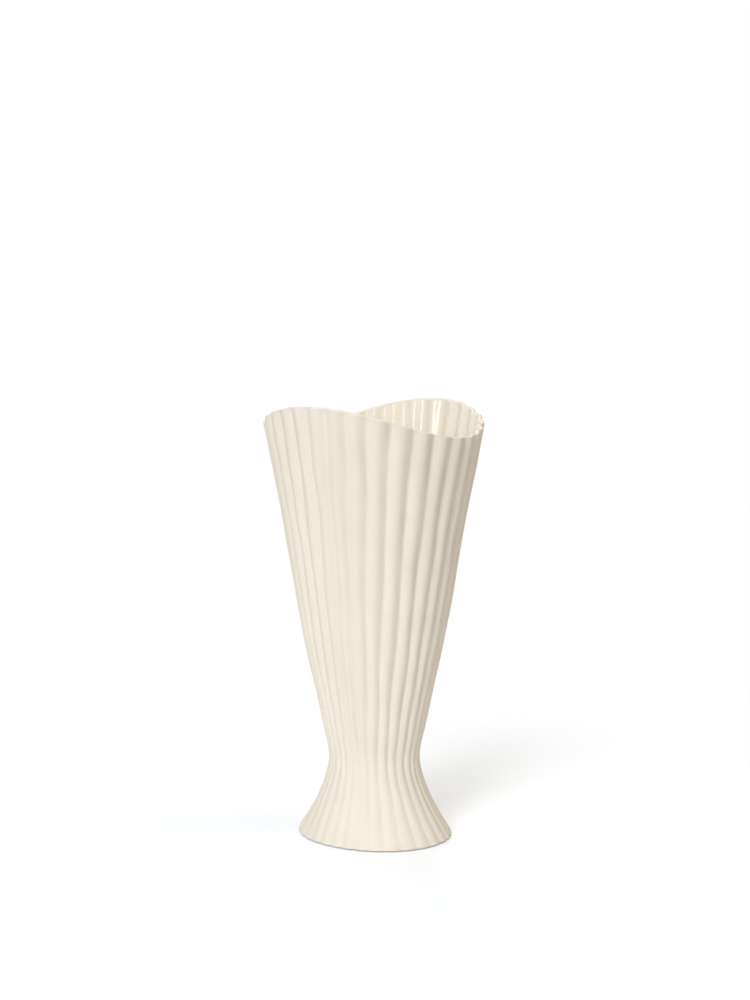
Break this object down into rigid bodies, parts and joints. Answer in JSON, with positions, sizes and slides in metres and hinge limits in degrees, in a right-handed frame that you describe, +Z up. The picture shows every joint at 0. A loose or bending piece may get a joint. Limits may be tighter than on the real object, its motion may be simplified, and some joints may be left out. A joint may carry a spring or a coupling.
{
  "type": "ribbed flower vase",
  "caption": "Tall ribbed ceramic flower vase: trumpet body with a wavy rim, narrow waist and flared foot, matt outside and glossy glaze inside, on thin felt pads.",
  "frame": {"origin": "on the surface that the vase stands on, under the middle of its foot", "axes": "+Z up along the vase's axis; the side that faces the viewer in the picture faces -Y, +X is to the viewer's right"},
  "size_m": [0.151, 0.1536, 0.3],
  "materials": {
    "clay": "matt, fine-grained, cream through and through",
    "glaze": "clear gloss glaze over the cream clay",
    "felt": "pressed felt"
  },
  "bodies": {
    "root": {"clay_body": "clay", "inner_glaze": "glaze", "felt_pad_1": "felt", "felt_pad_2": "felt", "felt_pad_3": "felt", "felt_pad_4": "felt"}
  },
  "joints": []
}
